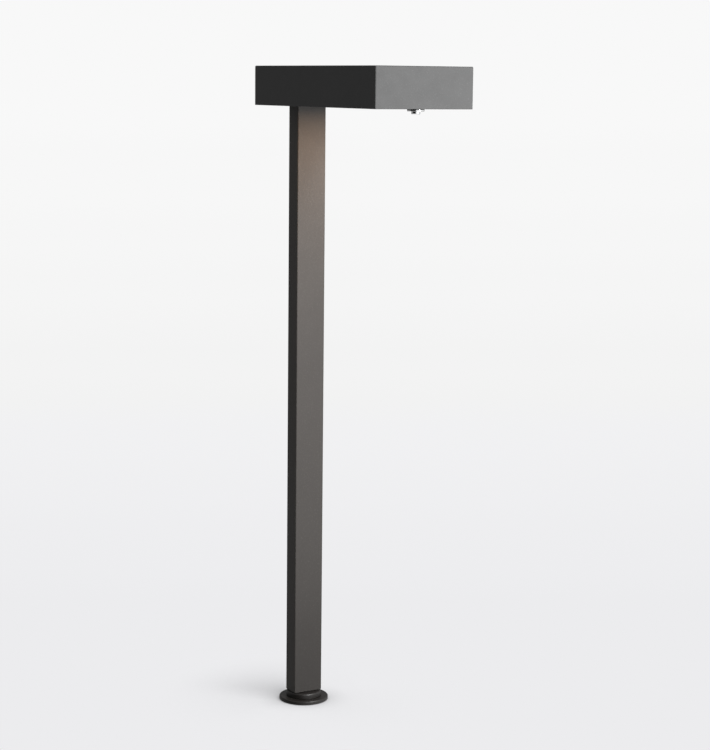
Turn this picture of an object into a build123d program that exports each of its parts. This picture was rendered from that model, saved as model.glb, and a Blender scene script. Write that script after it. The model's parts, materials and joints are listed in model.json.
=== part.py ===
from build123d import *
import os

# ---------------------------------------------------------------------------
# Low-voltage bollard light: a shallow rectangular head cantilevered forward
# (towards -Y) from a slim rectangular post that stands on a round base.
# Millimetres. +Z up. The origin is the centre of the base flange's underside,
# on the post's axis, where the threaded stub leaves the base.
#
# Name endings: _R radius, _T thickness, _L length, _W width, _H height,
# _D depth, _X/_Y/_Z a place on (or half width along) that axis, _YF/_YB the
# front (-Y) and back (+Y) ends, _Z0/_Z1 the bottom and top.
# ---------------------------------------------------------------------------

# head
TOTAL_H = 558.8          # flange underside to head top
HEAD_W = 88.9            # along X
HEAD_L = 203.2           # along Y
HEAD_H = 33.0
BACK_Y = 12.3            # back face of the head
WALL = 2.5
ROOF_T = 2.8
EDGE_R = 1.1             # outer edge rounding of the cast head

Z_RIM = TOTAL_H - HEAD_H
Z_ROOF = TOTAL_H - ROOF_T
FRONT_Y = BACK_Y - HEAD_L
HEAD_YC = BACK_Y - HEAD_L / 2
IN_X = HEAD_W / 2 - WALL
IN_YB = BACK_Y - WALL
IN_YF = FRONT_Y + WALL
MERGE = 0.2              # how far added features run into the casting's walls

# post, and the blocks that fit inside its tube
POST_X = 27.0
POST_Y = 16.7
POST_WALL = 1.8
POST_R = 0.9
POST_Z0 = 9.0
POST_Z1 = 549.0
POST_REAR_Y = POST_Y / 2
PLUG_X = POST_X - 2 * POST_WALL - 0.1
PLUG_Y = POST_Y - 2 * POST_WALL - 0.1
PLUG_Z0 = 521.0

# base
FLANGE_R = 21.65
FLANGE_T = 3.5
HUB_R = 15.4
HUB_Z1 = 8.3
NECK_R = 10.6
STUB_R = 10.35           # 1/2 in. straight pipe thread, major radius
STUB_L = 14.0
MOUTH_R = 6.0            # counterbore in the stub's lower end
LEAD_BORE_R = 3.5
SPIGOT_Z1 = 31.0
BASE_SCREW_ZS = (15.5, 25.0)

# lens frame (the hinged underside)
FRAME_RECESS = 0.6
FRAME_T = 3.0
FRAME_GAP = 0.4
GASKET_T = 1.0
REBATE_D = 1.5           # rebate for the glass
WIN_X = 32.0             # half width of the light window
FR_Z0 = Z_RIM + FRAME_RECESS
FR_Z1 = FR_Z0 + FRAME_T
FR_X = IN_X - FRAME_GAP
FR_YF = IN_YF + FRAME_GAP

# glass
LENS_X = 35.0
LENS_T = 3.0
LENS_YF = -167.0
LENS_YB = -37.0
LENS_YC = (LENS_YF + LENS_YB) / 2
LENS_LEN = LENS_YB - LENS_YF
LENS_Z0 = FR_Z1 - 0.7
LENS_Z1 = LENS_Z0 + LENS_T
CLIP_X = 22.0
CLIP_SCREW_YS = (LENS_YF - 5.0, LENS_YB + 5.0)

# hinge: in each set one frame knuckle turns between two fixed ones
HINGE_Y = -18.0
HINGE_Z = FR_Z1
HINGE_R = 3.0
PIN_R = 1.5
PIN_L = 18.6
HINGE_SETS = (-27.0, 27.0)
FRAME_KNUCKLE_W = 10.0
FIXED_KNUCKLE_W = 3.9
KNUCKLE_X = FRAME_KNUCKLE_W / 2 + 0.1 + FIXED_KNUCKLE_W / 2   # from the set's centre
FR_YB = HINGE_Y - HINGE_R - 0.6

# ledge and partition inside the head
LEDGE_Z = FR_Z1 + GASKET_T
LEDGE_W = 3.0
LEDGE_T = 4.0
PART_YF = -27.6          # partition between lamp and wiring compartments
PART_YB = -24.6

# captive lens screw
SCREW_Y = FRONT_Y + 13.2
SCREW_HEAD_R = 3.5
SCREW_WAIST_R = 1.5
WASHER_R = 6.8
SCREW_TRAVEL = 8 * 0.7   # eight turns of 0.7 mm pitch
RETAINER_T = 0.8
BOSS_Z0 = FR_Z1 + RETAINER_T + 5.0      # underside of the screw boss
INSERT_R = 3.0
INSERT_L = 8.0

# rear cover plate
COVER_T = 2.5
COVER_YF = HINGE_Y + HINGE_R + 0.4
COVER_YB = IN_YB - FRAME_GAP
COVER_SCREW = (34.0, -2.0)

# collar round the post, and the bolts through it
COLLAR_X = 18.0
COLLAR_YF = -(POST_Y / 2 + 4.0)
COLLAR_Z0 = FR_Z0 + COVER_T + 0.1
COLLAR_FIT = 0.2
CHAMBER_Z0 = POST_Z1 + COLLAR_FIT       # wire chamber above the post
BOLT_X = 7.6
BOLT_Z = 538.0
BOLT_HOLE_R = 2.2

# reflector
REFL_Z0 = 533.4
REFL_Z1 = 553.8
REFL_T = 0.8
REFL_W = 75.0
REFL_L = 116.0
REFL_YC = -112.0
REFL_TOP_W = 46.0
REFL_TOP_L = REFL_L - 12
REFL_TOP_YC = REFL_YC + 2
REFL_SCREW_YS = (REFL_TOP_YC + 32.0, REFL_TOP_YC - 32.0)
REFL_SCREW_X = 14.0

# lamp bracket
BRKT_Z = 550.0           # top face
BRKT_T = 1.2
BRKT_W = 27.0
BRKT_YB = -31.0
BRKT_Z0 = 537.4
LEG_YF = -46.2           # front face of the bracket's leg
BRKT_SCREW = (9.0, -36.5)

# lamp and socket
LAMP_Z = 543.2
BULB_R = 7.6
BULB_IN_R = 6.9
SOCKET_FLANGE_T = 3.0
SOCKET_CUP_L = 6.8
SOCKET_SCREW_X = 10.3
CUP_YF = LEG_YF - SOCKET_FLANGE_T - SOCKET_CUP_L
CONTACT_DZ = 1.8         # each contact's distance above or below the lamp's axis
ENV_YB = CUP_YF - 0.3    # rear end of the glass envelope
WEDGE_YB = -46.8         # rear end of the lamp's wedge

# wiring
GROMMET_Z = 547.0
CONN_X = 24.2
CONN_Y = -4.0
CONN_WIRE_X = 1.7        # each wire's distance from its connector's axis
CONN_WIRE_Z0 = 538.0     # wire ends inside the connectors
LEAD_R = 1.0
SUPPLY_X = 1.3

# small screws
SHANK_R = 1.45
TAPPED_R = 1.5
CLEAR_R = 1.65
CSK_CLEAR_R = 1.7
PAN_HEAD_R = 2.6
CROSS_L = 2.6
CROSS_W = 0.6
SMALL_HEX_R = 1.15

LO = (Align.CENTER, Align.CENTER, Align.MIN)
HI = (Align.CENTER, Align.CENTER, Align.MAX)
SIDES = (-1, 1)


def at_x(x):
    """Plane facing +X."""
    return Plane.YZ.offset(x)


def at_y(y):
    """Plane facing the front (-Y); its local axes are X and Z."""
    return Plane.XZ.offset(-y)


def at_z(z):
    """Plane facing up."""
    return Plane.XY.offset(z)


def mirrored(x, *rest):
    """The same point on the -X and +X sides."""
    return [(side * x, *rest) for side in SIDES]


def four(x, ys, *rest):
    """Points at -x and +x for each of the given y."""
    return [(side * x, y, *rest) for side in SIDES for y in ys]


def base_screw_spots(y):
    """Places of the base screws at depth y, pointing forward."""
    return [Location((0, y, z), (90, 0, 0)) for z in BASE_SCREW_ZS]


def export(shape, name):
    shape.label = name
    export_step(shape, f"parts/{name}.step")


def pan_head_screws(spots, seat_z, head_up, head_h, shank_l, recess_d):
    """Upright screws with a rounded head and a cross recess, seated at seat_z."""
    up = 1 if head_up else -1
    with BuildPart() as screws:
        with Locations(*[(x, y, seat_z) for x, y in spots]):
            Cylinder(PAN_HEAD_R, head_h, align=LO if head_up else HI)
            Cylinder(SHANK_R, shank_l, align=HI if head_up else LO)
        levels = screws.edges().filter_by(GeomType.CIRCLE).group_by(Axis.Z)
        fillet(levels[-1 if head_up else 0], 0.6)
        with BuildSketch(at_z(seat_z + up * head_h)):
            with Locations(*spots):
                Rectangle(CROSS_L, CROSS_W)
                Rectangle(CROSS_W, CROSS_L)
        extrude(amount=-up * recess_d, mode=Mode.SUBTRACT)
    return screws.part


def wires(routes, bend_r):
    """Round wires swept along filleted routes."""
    with BuildPart() as bundle:
        for route in routes:
            with BuildLine() as path:
                FilletPolyline(*route, radius=bend_r)
            with BuildSketch(Plane(origin=path.line @ 0, z_dir=path.line % 0)):
                Circle(LEAD_R)
            sweep(path=path.line)
    return bundle.part


os.makedirs("parts", exist_ok=True)

# ---------------------------------------------------------------------------
# Head housing: cast tray, open below, with the post collar, the partition,
# the gasket ledge and all screw bosses
# ---------------------------------------------------------------------------
BOSS_R = 3.5             # lamp bracket and reflector bosses
COVER_BOSS_R = 4.0

with BuildPart() as head_housing:
    with BuildSketch(at_z(Z_RIM)):
        with Locations((0, HEAD_YC)):
            Rectangle(HEAD_W, HEAD_L)
    extrude(amount=HEAD_H)
    fillet(head_housing.edges().filter_by(Axis.Z), EDGE_R)
    fillet(head_housing.faces().sort_by(Axis.Z)[-1].edges(), EDGE_R - 0.2)
    with BuildSketch(at_z(Z_RIM)):
        with Locations((0, (IN_YF + IN_YB) / 2)):
            RectangleRounded(2 * IN_X, IN_YB - IN_YF, 1.0)
    extrude(amount=Z_ROOF - Z_RIM, mode=Mode.SUBTRACT)
    # ledge the frame gasket closes against, on the front and both sides
    with BuildSketch(at_z(LEDGE_Z)):
        with Locations((0, (IN_YF + PART_YB) / 2)):
            Rectangle(2 * IN_X + 2 * MERGE, PART_YB - IN_YF + MERGE)
        with Locations((0, (IN_YF + LEDGE_W + PART_YF) / 2)):
            Rectangle(2 * (IN_X - LEDGE_W), PART_YF - IN_YF - LEDGE_W, mode=Mode.SUBTRACT)
    extrude(amount=LEDGE_T)
    # partition across the head
    with BuildSketch(at_z(LEDGE_Z)):
        with Locations((0, (PART_YF + PART_YB) / 2)):
            Rectangle(2 * IN_X + 2 * MERGE, PART_YB - PART_YF)
    extrude(amount=Z_ROOF - LEDGE_Z + MERGE)
    # collar round the post
    with BuildSketch(at_z(COLLAR_Z0)):
        with Locations((0, (COLLAR_YF + IN_YB + MERGE) / 2)):
            Rectangle(2 * COLLAR_X, IN_YB + MERGE - COLLAR_YF)
    extrude(amount=Z_ROOF - COLLAR_Z0 + MERGE)
    with BuildSketch(at_z(COLLAR_Z0)):
        RectangleRounded(POST_X + COLLAR_FIT, POST_Y + COLLAR_FIT, POST_R)
    extrude(amount=CHAMBER_Z0 - COLLAR_Z0, mode=Mode.SUBTRACT)
    # wire chamber over the post's end, open to both sides
    with BuildSketch(at_z(CHAMBER_Z0)):
        Rectangle(20, 10)
        Rectangle(2 * COLLAR_X + 1, 8)
    extrude(amount=Z_ROOF - CHAMBER_Z0, mode=Mode.SUBTRACT)
    # boss for the lens screw
    with Locations((0, SCREW_Y, BOSS_Z0)):
        Cylinder(5.5, Z_ROOF - BOSS_Z0 + MERGE, align=LO)
        Cylinder(INSERT_R + 0.02, INSERT_L + 0.1, align=LO, mode=Mode.SUBTRACT)
        Cylinder(2.2, 11.0, align=LO, mode=Mode.SUBTRACT)
    # bosses for the rear cover plate
    with Locations(*mirrored(*COVER_SCREW, COLLAR_Z0)):
        Cylinder(COVER_BOSS_R, Z_ROOF - COLLAR_Z0 + MERGE, align=LO)
        Cylinder(TAPPED_R, 12.0, align=LO, mode=Mode.SUBTRACT)
    # bosses for the lamp bracket
    with Locations(*mirrored(*BRKT_SCREW, BRKT_Z)):
        Cylinder(BOSS_R, Z_ROOF - BRKT_Z + MERGE, align=LO)
        Cylinder(TAPPED_R, 6.6, align=LO, mode=Mode.SUBTRACT)
    # bosses for the reflector
    with Locations(*four(REFL_SCREW_X, REFL_SCREW_YS, REFL_Z1)):
        Cylinder(BOSS_R, Z_ROOF - REFL_Z1 + MERGE, align=LO)
        Cylinder(TAPPED_R, 3.2, align=LO, mode=Mode.SUBTRACT)
    # hole for the wire grommet in the partition
    with BuildSketch(at_y(PART_YF - 1)):
        with Locations((0, GROMMET_Z)):
            Circle(4.0)
    extrude(amount=-5.0, mode=Mode.SUBTRACT)
    # clearance holes for the post bolts through the collar's front wall
    with BuildSketch(at_y(COLLAR_YF)):
        with Locations(*mirrored(BOLT_X, BOLT_Z)):
            Circle(BOLT_HOLE_R)
    extrude(amount=-4.5, mode=Mode.SUBTRACT)
    # soften the visible rim
    fillet(
        head_housing.faces().filter_by(Axis.Z).group_by(Axis.Z)[0].edges(), 0.4
    )
export(head_housing.part, "head_housing")

# ---------------------------------------------------------------------------
# Threaded insert pressed into the screw boss
# ---------------------------------------------------------------------------
with BuildPart() as boss_insert:
    with Locations((0, SCREW_Y, BOSS_Z0)):
        Cylinder(INSERT_R, INSERT_L, align=LO)
        Cylinder(2.0, INSERT_L, align=LO, mode=Mode.SUBTRACT)
    chamfer(
        boss_insert.edges().filter_by(GeomType.CIRCLE).group_by(Axis.Z)[-1], 0.3
    )
export(boss_insert.part, "boss_insert")

# ---------------------------------------------------------------------------
# Rear cover plate: closes the wiring compartment round the post and carries
# the fixed hinge knuckles
# ---------------------------------------------------------------------------
KNUCKLE_CENTRES = [c + side * KNUCKLE_X for c in HINGE_SETS for side in SIDES]
PIN_CUT_X = 40.0         # half length of the cut for the pins

with BuildPart() as rear_cover_plate:
    with BuildSketch(at_z(FR_Z0)):
        with Locations((0, (COVER_YF + COVER_YB) / 2)):
            RectangleRounded(2 * FR_X, COVER_YB - COVER_YF, 0.8)
    extrude(amount=COVER_T)
    with BuildSketch(at_z(FR_Z0)):
        RectangleRounded(POST_X + 0.6, POST_Y + 0.6, POST_R + 0.3)
    extrude(amount=COVER_T, mode=Mode.SUBTRACT)
    # arms, which run 1 mm into the plate, and barrels
    with BuildSketch(at_z(FR_Z0)):
        with Locations(*[(x, (HINGE_Y + COVER_YF + 1) / 2) for x in KNUCKLE_CENTRES]):
            Rectangle(FIXED_KNUCKLE_W, COVER_YF + 1 - HINGE_Y)
    extrude(amount=COVER_T)
    for x in KNUCKLE_CENTRES:
        with BuildSketch(at_x(x - FIXED_KNUCKLE_W / 2)):
            with Locations((HINGE_Y, HINGE_Z)):
                Circle(HINGE_R)
        extrude(amount=FIXED_KNUCKLE_W)
    with BuildSketch(at_x(-PIN_CUT_X)):
        with Locations((HINGE_Y, HINGE_Z)):
            Circle(PIN_R + 0.01)
    extrude(amount=2 * PIN_CUT_X, mode=Mode.SUBTRACT)
    # countersunk screw holes from below
    with Locations(*mirrored(*COVER_SCREW, FR_Z0)):
        Cylinder(CSK_CLEAR_R, COVER_T, align=LO, mode=Mode.SUBTRACT)
        Cone(3.1, 1.6, 1.5, align=LO, mode=Mode.SUBTRACT)
export(rear_cover_plate.part, "rear_cover_plate")

# ---------------------------------------------------------------------------
# Two countersunk screws that hold the rear cover plate, driven from below
# ---------------------------------------------------------------------------
with BuildPart() as rear_cover_screws:
    with Locations(*mirrored(*COVER_SCREW, FR_Z0 + 0.05)):
        Cone(2.95, SHANK_R, 1.5, align=LO)
        Cylinder(SHANK_R, 9.5, align=LO)
    with BuildSketch(at_z(FR_Z0)):
        with Locations(*mirrored(*COVER_SCREW)):
            RegularPolygon(SMALL_HEX_R, 6)
    extrude(amount=1.1, mode=Mode.SUBTRACT)
export(rear_cover_screws.part, "rear_cover_screws")

# ---------------------------------------------------------------------------
# Two hinge pins with rounded ends
# ---------------------------------------------------------------------------
with BuildPart() as hinge_pins:
    for c in HINGE_SETS:
        with BuildSketch(at_x(c - PIN_L / 2)):
            with Locations((HINGE_Y, HINGE_Z)):
                Circle(PIN_R)
        extrude(amount=PIN_L)
    fillet(hinge_pins.edges().filter_by(GeomType.CIRCLE), 0.4)
export(hinge_pins.part, "hinge_pins")

# ---------------------------------------------------------------------------
# Lens frame: flat plate with the light window, a rebate for the glass and one
# knuckle in each hinge set
# ---------------------------------------------------------------------------
with BuildPart() as lens_frame:
    with BuildSketch(at_z(FR_Z0)):
        with Locations((0, (FR_YF + FR_YB) / 2)):
            RectangleRounded(2 * FR_X, FR_YB - FR_YF, 1.0)
    extrude(amount=FRAME_T)
    with BuildSketch(at_z(FR_Z0)):
        with Locations((0, LENS_YC)):
            RectangleRounded(2 * WIN_X, LENS_LEN - 6, 4.0)
    extrude(amount=FRAME_T, mode=Mode.SUBTRACT)
    with BuildSketch(at_z(FR_Z1 - REBATE_D)):
        with Locations((0, LENS_YC)):
            RectangleRounded(2 * LENS_X + 0.8, LENS_LEN + 0.8, 3.0)
    extrude(amount=REBATE_D, mode=Mode.SUBTRACT)
    # bevel round the light window, on the face seen from below
    chamfer(
        lens_frame.faces().filter_by(Axis.Z).sort_by(Axis.Z)[0].inner_wires()[0].edges(), 0.7
    )
    # knuckles, whose arms run 1 mm into the plate
    with BuildSketch(at_z(FR_Z0)):
        with Locations(*[(c, (FR_YB - 1 + HINGE_Y) / 2) for c in HINGE_SETS]):
            Rectangle(FRAME_KNUCKLE_W, HINGE_Y - FR_YB + 1)
    extrude(amount=FRAME_T)
    for c in HINGE_SETS:
        with BuildSketch(at_x(c - FRAME_KNUCKLE_W / 2)):
            with Locations((HINGE_Y, HINGE_Z)):
                Circle(HINGE_R)
        extrude(amount=FRAME_KNUCKLE_W)
    with BuildSketch(at_x(-PIN_CUT_X)):
        with Locations((HINGE_Y, HINGE_Z)):
            Circle(PIN_R + 0.05)
    extrude(amount=2 * PIN_CUT_X, mode=Mode.SUBTRACT)
    # hole for the captive screw, and tapped holes for the lens clips
    with Locations((0, SCREW_Y, FR_Z0)):
        Cylinder(2.2, FRAME_T, align=LO, mode=Mode.SUBTRACT)
    with Locations(*four(CLIP_X, CLIP_SCREW_YS, FR_Z1)):
        Cylinder(TAPPED_R, 2.5, align=HI, mode=Mode.SUBTRACT)
export(lens_frame.part, "lens_frame")

# ---------------------------------------------------------------------------
# Gasket between lens frame and housing ledge, bonded to the frame
# ---------------------------------------------------------------------------
# half width, front y, back y
GASKET_OUTER = (41.2, -187.6, -24.8)
GASKET_INNER = (39.0, -185.4, -27.4)

with BuildPart() as frame_gasket:
    with BuildSketch(at_z(FR_Z1)):
        for (half_w, front, back), mode in (
            (GASKET_OUTER, Mode.ADD),
            (GASKET_INNER, Mode.SUBTRACT),
        ):
            with Locations((0, (front + back) / 2)):
                RectangleRounded(2 * half_w, back - front, 0.8, mode=mode)
    extrude(amount=GASKET_T)
export(frame_gasket.part, "frame_gasket")

# ---------------------------------------------------------------------------
# Lens gasket, on the floor of the rebate
# ---------------------------------------------------------------------------
with BuildPart() as lens_gasket:
    with BuildSketch(at_z(FR_Z1 - REBATE_D)):
        with Locations((0, LENS_YC)):
            RectangleRounded(2 * LENS_X + 0.4, LENS_LEN + 0.4, 2.8)
            RectangleRounded(2 * WIN_X + 1.0, LENS_LEN - 5, 3.6, mode=Mode.SUBTRACT)
    extrude(amount=LENS_Z0 - FR_Z1 + REBATE_D)
export(lens_gasket.part, "lens_gasket")

# ---------------------------------------------------------------------------
# Lens: flat glass with bevelled edges
# ---------------------------------------------------------------------------
with BuildPart() as lens:
    with BuildSketch(at_z(LENS_Z0)):
        with Locations((0, LENS_YC)):
            RectangleRounded(2 * LENS_X, LENS_LEN, 2.6)
    extrude(amount=LENS_T)
    chamfer(lens.faces().filter_by(Axis.Z).edges(), 0.35)
export(lens.part, "lens")

# ---------------------------------------------------------------------------
# Four spring clips over the ends of the lens, and their screws
# ---------------------------------------------------------------------------
CLIP_W = 9.0
CLIP_T = 0.6
CLIP_FOOT_L = 7.0
CLIP_TONGUE_L = 4.6
TONGUE_Z = LENS_Z1 + 0.05

with BuildPart() as lens_clips:
    for x in (-CLIP_X, CLIP_X):
        for s in SIDES:
            end = LENS_YC + s * (LENS_LEN / 2 + 0.6)
            foot = end + s * CLIP_FOOT_L
            tongue = end - s * CLIP_TONGUE_L
            with BuildSketch(at_x(x - CLIP_W / 2)):
                with BuildLine():
                    Polyline(
                        (foot, FR_Z1),
                        (end, FR_Z1),
                        (end, TONGUE_Z),
                        (tongue, TONGUE_Z),
                        (tongue, TONGUE_Z + CLIP_T),
                        (end + s * CLIP_T, TONGUE_Z + CLIP_T),
                        (end + s * CLIP_T, FR_Z1 + CLIP_T),
                        (foot, FR_Z1 + CLIP_T),
                        close=True,
                    )
                make_face()
            extrude(amount=CLIP_W)
    with Locations(*four(CLIP_X, CLIP_SCREW_YS, FR_Z1)):
        Cylinder(CLEAR_R, CLIP_T, align=LO, mode=Mode.SUBTRACT)
export(lens_clips.part, "lens_clips")

lens_clip_screws = pan_head_screws(
    four(CLIP_X, CLIP_SCREW_YS), FR_Z1 + CLIP_T,
    head_up=True, head_h=1.7, shank_l=3.0, recess_d=0.9,
)
export(lens_clip_screws, "lens_clip_screws")

# ---------------------------------------------------------------------------
# Captive lens screw: cylinder head below, reduced waist, threaded tip (drawn
# just inside its major diameter)
# ---------------------------------------------------------------------------
WASHER_Z0 = FR_Z0 - 2.4
SCREW_HEAD_Z0 = WASHER_Z0 - 2.3
TIP_R = 1.97
TIP_Z0 = BOSS_Z0 + 1.1
TIP_Z1 = BOSS_Z0 + SCREW_TRAVEL - 0.05

with BuildPart() as lens_screw:
    with BuildSketch(Plane.XZ):
        with BuildLine():
            Polyline(
                (0, SCREW_HEAD_Z0),
                (SCREW_HEAD_R - 0.5, SCREW_HEAD_Z0),
                (SCREW_HEAD_R, SCREW_HEAD_Z0 + 0.5),
                (SCREW_HEAD_R, WASHER_Z0),
                (SCREW_WAIST_R, WASHER_Z0),
                (SCREW_WAIST_R, TIP_Z0 - 0.4),
                (TIP_R, TIP_Z0),
                (TIP_R, TIP_Z1 - 0.5),
                (SCREW_WAIST_R, TIP_Z1),
                (0, TIP_Z1),
                close=True,
            )
        make_face()
    revolve(axis=Axis.Z)
    with BuildSketch(at_z(SCREW_HEAD_Z0)):
        RegularPolygon(1.44, 6)
    extrude(amount=1.4, mode=Mode.SUBTRACT)
export(lens_screw.part.moved(Location((0, SCREW_Y, 0))), "lens_screw")

# ---------------------------------------------------------------------------
# Thick cup washer under the frame, the rubber seal inside it, and the thin
# retaining washer on top of the frame that keeps the screw captive
# ---------------------------------------------------------------------------
WASHER_BORE_R = 2.1
CUP_R = 5.6
CUP_D = 1.0
SEAL_T = 0.96
SEAL_BORE_R = 1.6

with BuildPart() as screw_washer:
    with BuildSketch(Plane.XZ):
        with BuildLine():
            Polyline(
                (WASHER_BORE_R, WASHER_Z0),
                (WASHER_R - 0.45, WASHER_Z0),
            )
            ThreePointArc(
                (WASHER_R - 0.45, WASHER_Z0),
                (WASHER_R - 0.13, WASHER_Z0 + 0.13),
                (WASHER_R, WASHER_Z0 + 0.45),
            )
            Polyline(
                (WASHER_R, WASHER_Z0 + 0.45),
                (WASHER_R, FR_Z0),
                (CUP_R, FR_Z0),
                (CUP_R, FR_Z0 - CUP_D),
                (WASHER_BORE_R, FR_Z0 - CUP_D),
                (WASHER_BORE_R, WASHER_Z0),
            )
        make_face()
    revolve(axis=Axis.Z)
export(screw_washer.part.moved(Location((0, SCREW_Y, 0))), "screw_washer")

with BuildPart() as screw_seal:
    with Locations((0, SCREW_Y, FR_Z0 - 0.01)):
        Cylinder(CUP_R - 0.1, SEAL_T, align=HI)
        Cylinder(SEAL_BORE_R, SEAL_T, align=HI, mode=Mode.SUBTRACT)
export(screw_seal.part, "screw_seal")

with BuildPart() as screw_retainer:
    with Locations((0, SCREW_Y, FR_Z1)):
        Cylinder(4.5, RETAINER_T, align=LO)
        Cylinder(SEAL_BORE_R, RETAINER_T, align=LO, mode=Mode.SUBTRACT)
export(screw_retainer.part, "screw_retainer")

# ---------------------------------------------------------------------------
# Reflector: drawn sheet pan, open below, with a flat lip and a lamp hole in
# its rear wall
# ---------------------------------------------------------------------------
with BuildPart() as reflector:
    with BuildSketch(at_z(REFL_Z0)):
        with Locations((0, REFL_YC)):
            RectangleRounded(REFL_W, REFL_L, 4.0)
    with BuildSketch(at_z(REFL_Z1)):
        with Locations((0, REFL_TOP_YC)):
            RectangleRounded(REFL_TOP_W, REFL_TOP_L, 4.0)
    loft()
    # lip
    with BuildSketch(at_z(REFL_Z0)):
        with Locations((0, REFL_YC)):
            RectangleRounded(REFL_W + 2.0, REFL_L + 2.0, 5.0)
    extrude(amount=REFL_T)
    # hollow
    with BuildSketch(at_z(REFL_Z0)):
        with Locations((0, REFL_YC)):
            RectangleRounded(REFL_W - 2.2, REFL_L - 2.0, 3.2)
    with BuildSketch(at_z(REFL_Z1 - REFL_T)):
        with Locations((0, REFL_TOP_YC)):
            RectangleRounded(REFL_TOP_W - 2.0, REFL_TOP_L - 2.0, 3.2)
    loft(mode=Mode.SUBTRACT)
    # lamp hole, cut from inside the pan backwards
    with BuildSketch(at_y(REFL_YC + REFL_L / 2 - 12)):
        with Locations((0, LAMP_Z)):
            Circle(8.4)
    extrude(amount=-16, mode=Mode.SUBTRACT)
    with Locations(*four(REFL_SCREW_X, REFL_SCREW_YS, REFL_Z1)):
        Cylinder(1.6, 2, align=HI, mode=Mode.SUBTRACT)
export(reflector.part, "reflector")

reflector_screws = pan_head_screws(
    four(REFL_SCREW_X, REFL_SCREW_YS), REFL_Z1 - REFL_T,
    head_up=False, head_h=1.5, shank_l=3.8, recess_d=0.8,
)
export(reflector_screws, "reflector_screws")

# ---------------------------------------------------------------------------
# Lamp bracket: bent sheet hung from two bosses, and its screws
# ---------------------------------------------------------------------------
with BuildPart() as lamp_bracket:
    with BuildSketch(at_z(BRKT_Z - BRKT_T)):
        with Locations((0, (LEG_YF + BRKT_YB) / 2)):
            Rectangle(BRKT_W, BRKT_YB - LEG_YF)
    extrude(amount=BRKT_T)
    with BuildSketch(at_z(BRKT_Z0)):
        with Locations((0, LEG_YF + BRKT_T / 2)):
            Rectangle(BRKT_W, BRKT_T)
    extrude(amount=BRKT_Z - BRKT_Z0)
    # outside of the bend
    fillet(
        lamp_bracket.edges()
        .filter_by(Axis.X)
        .filter_by_position(Axis.Y, LEG_YF - 0.01, LEG_YF + 0.01)
        .group_by(Axis.Z)[-1],
        1.0,
    )
    # opening for the socket's neck, and its screw holes
    with BuildSketch(at_y(LEG_YF - 1)):
        with Locations((0, LAMP_Z)):
            Rectangle(11.4, 9.4)
        with Locations(*mirrored(SOCKET_SCREW_X, LAMP_Z)):
            Circle(1.25)
    extrude(amount=-4, mode=Mode.SUBTRACT)
    with Locations(*mirrored(*BRKT_SCREW, BRKT_Z)):
        Cylinder(CLEAR_R, 3, align=HI, mode=Mode.SUBTRACT)
export(lamp_bracket.part, "lamp_bracket")

bracket_screws = pan_head_screws(
    mirrored(*BRKT_SCREW), BRKT_Z - BRKT_T,
    head_up=False, head_h=1.7, shank_l=7.0, recess_d=0.9,
)
export(bracket_screws, "bracket_screws")

# ---------------------------------------------------------------------------
# Wedge-base lamp socket: round cup in front, flange against the bracket leg,
# neck through the leg, with a slot and two contact channels
# ---------------------------------------------------------------------------
SOCKET_FRONT_Y = LEG_YF - SOCKET_FLANGE_T   # front face of the flange

with BuildPart() as lamp_socket:
    with BuildSketch(at_y(LEG_YF)):
        with Locations((0, LAMP_Z)):
            RectangleRounded(26.0, 10.8, 2.0)
    extrude(amount=SOCKET_FLANGE_T)
    with BuildSketch(at_y(SOCKET_FRONT_Y)):
        with Locations((0, LAMP_Z)):
            Circle(BULB_R)
    extrude(amount=SOCKET_CUP_L)
    with BuildSketch(at_y(LEG_YF)):
        with Locations((0, LAMP_Z)):
            Rectangle(11.0, 9.0)
    extrude(amount=-8.2)
    # slot for the wedge
    with BuildSketch(at_y(CUP_YF)):
        with Locations((0, LAMP_Z)):
            Rectangle(10.2, 4.4)
    extrude(amount=-10.0, mode=Mode.SUBTRACT)
    # contact channels
    with BuildSketch(at_y(LEG_YF - 1)):
        with Locations((0, LAMP_Z + CONTACT_DZ), (0, LAMP_Z - CONTACT_DZ)):
            Rectangle(4.8, 0.7)
    extrude(amount=-10.0, mode=Mode.SUBTRACT)
    # screw holes
    with BuildSketch(at_y(SOCKET_FRONT_Y)):
        with Locations(*mirrored(SOCKET_SCREW_X, LAMP_Z)):
            Circle(1.4)
    extrude(amount=-SOCKET_FLANGE_T, mode=Mode.SUBTRACT)
export(lamp_socket.part, "lamp_socket")

SOCKET_HEAD_H = 1.4

with BuildPart() as socket_screws:
    with BuildSketch(at_y(SOCKET_FRONT_Y)):
        with Locations(*mirrored(SOCKET_SCREW_X, LAMP_Z)):
            Circle(2.2)
    extrude(amount=SOCKET_HEAD_H)
    fillet(
        socket_screws.edges().filter_by(GeomType.CIRCLE).group_by(Axis.Y)[0], 0.5
    )
    with BuildSketch(at_y(SOCKET_FRONT_Y)):
        with Locations(*mirrored(SOCKET_SCREW_X, LAMP_Z)):
            Circle(1.2)
    extrude(amount=-5.0)
    # cross recess
    with BuildSketch(at_y(SOCKET_FRONT_Y - SOCKET_HEAD_H)):
        with Locations(*mirrored(SOCKET_SCREW_X, LAMP_Z)):
            Rectangle(2.2, 0.5)
            Rectangle(0.5, 2.2)
    extrude(amount=-0.7, mode=Mode.SUBTRACT)
export(socket_screws.part, "socket_screws")

CONTACT_YB = -35.6

with BuildPart() as socket_contacts:
    for s in SIDES:
        with BuildSketch(at_y(CONTACT_YB)):
            with Locations((0, LAMP_Z + s * CONTACT_DZ)):
                Rectangle(4.4, 0.5)
        extrude(amount=19.4)
export(socket_contacts.part, "socket_contacts")

# ---------------------------------------------------------------------------
# Wedge-base lamp: blown glass envelope, the flat wedge base that closes its
# neck, and the filament with its two supports inside
# ---------------------------------------------------------------------------
BULB_NECK_R = 4.0
DOME_Z = 22.0            # centre of the domed end, from the neck's end

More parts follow.
